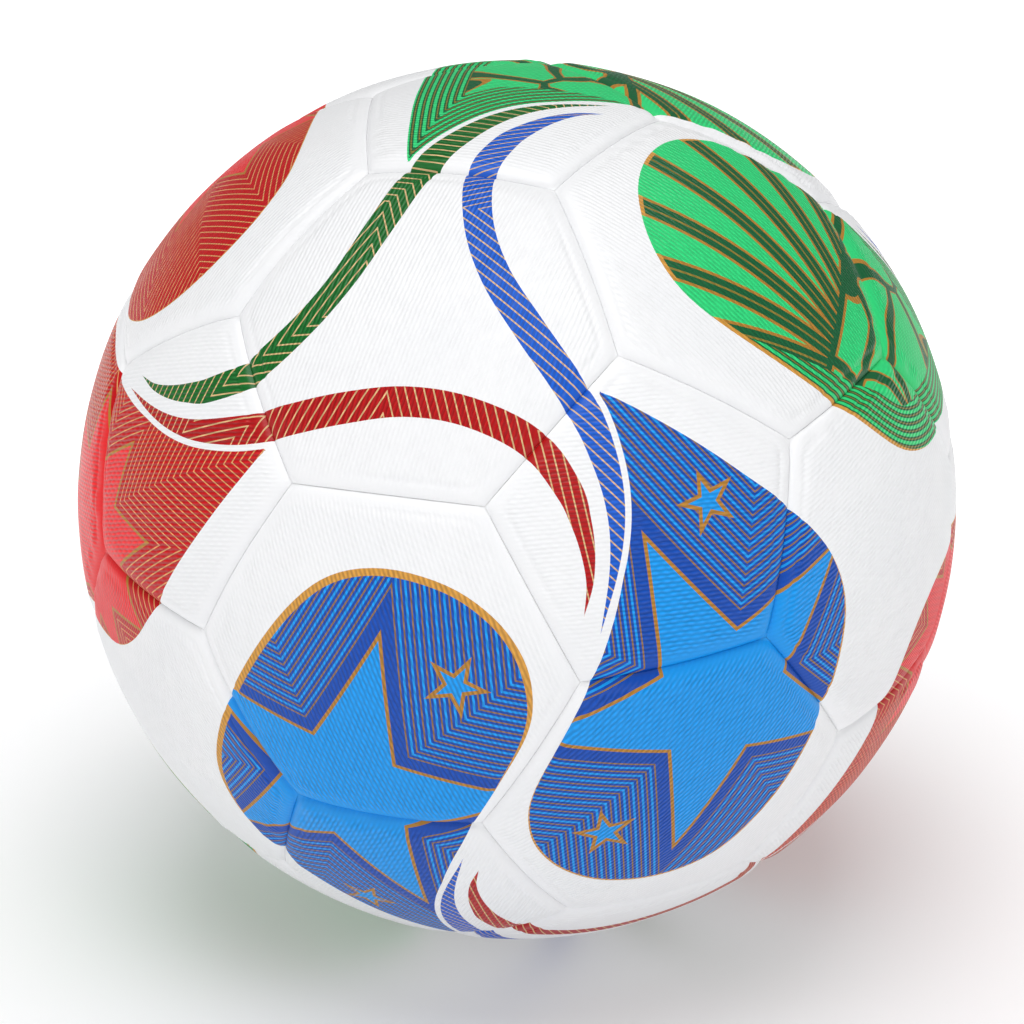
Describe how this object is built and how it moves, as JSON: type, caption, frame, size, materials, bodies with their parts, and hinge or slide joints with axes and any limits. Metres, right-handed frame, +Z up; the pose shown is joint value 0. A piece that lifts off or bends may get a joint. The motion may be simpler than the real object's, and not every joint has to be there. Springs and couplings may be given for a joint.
{
  "type": "soccer ball",
  "caption": "Inflatable football with bonded hexagonal and pentagonal cover panels, a wound carcass, a rubber bladder and a needle valve.",
  "frame": {"origin": "the ball's centre", "axes": "+Y out through the inflation valve, +Z up, -Y out through the middle of the hexagonal panel opposite the valve"},
  "size_m": [0.22, 0.2199, 0.22],
  "materials": {
    "printed_cover": "semi-gloss printed synthetic leather with a fine embossed zigzag",
    "panel_foam": "matt closed-cell foam",
    "seam_adhesive": "cured, satin",
    "wound_thread": "wound polyester thread set in rubber",
    "bladder_rubber": "matt moulded butyl rubber",
    "valve_rubber": "satin moulded rubber",
    "valve_core_rubber": "satin, greased natural rubber"
  },
  "bodies": {
    "root": {"balance_patch": "bladder_rubber", "bladder": "bladder_rubber", "hexagon_foam_pads": "panel_foam", "hexagon_panel_01": "printed_cover", "hexagon_panel_02": "printed_cover", "hexagon_panel_03": "printed_cover", "hexagon_panel_04": "printed_cover", "hexagon_panel_05": "printed_cover", "hexagon_panel_06": "printed_cover", "hexagon_panel_07": "printed_cover", "hexagon_panel_08": "printed_cover", "hexagon_panel_09": "printed_cover", "hexagon_panel_10": "printed_cover", "hexagon_panel_11": "printed_cover", "hexagon_panel_12": "printed_cover", "hexagon_panel_13": "printed_cover", "hexagon_panel_14": "printed_cover", "hexagon_panel_15": "printed_cover", "hexagon_panel_16": "printed_cover", "hexagon_panel_17": "printed_cover", "hexagon_panel_18": "printed_cover", "hexagon_panel_19": "printed_cover", "pentagon_foam_pads": "panel_foam", "pentagon_panel_01": "printed_cover", "pentagon_panel_02": "printed_cover", "pentagon_panel_03": "printed_cover", "pentagon_panel_04": "printed_cover", "pentagon_panel_05": "printed_cover", "pentagon_panel_06": "printed_cover", "pentagon_panel_07": "printed_cover", "pentagon_panel_08": "printed_cover", "pentagon_panel_09": "printed_cover", "pentagon_panel_10": "printed_cover", "pentagon_panel_11": "printed_cover", "pentagon_panel_12": "printed_cover", "seam_bond": "seam_adhesive", "valve_core": "valve_core_rubber", "valve_housing": "valve_rubber", "valve_panel": "printed_cover", "valve_patch": "bladder_rubber", "wound_carcass": "wound_thread"}
  },
  "joints": []
}
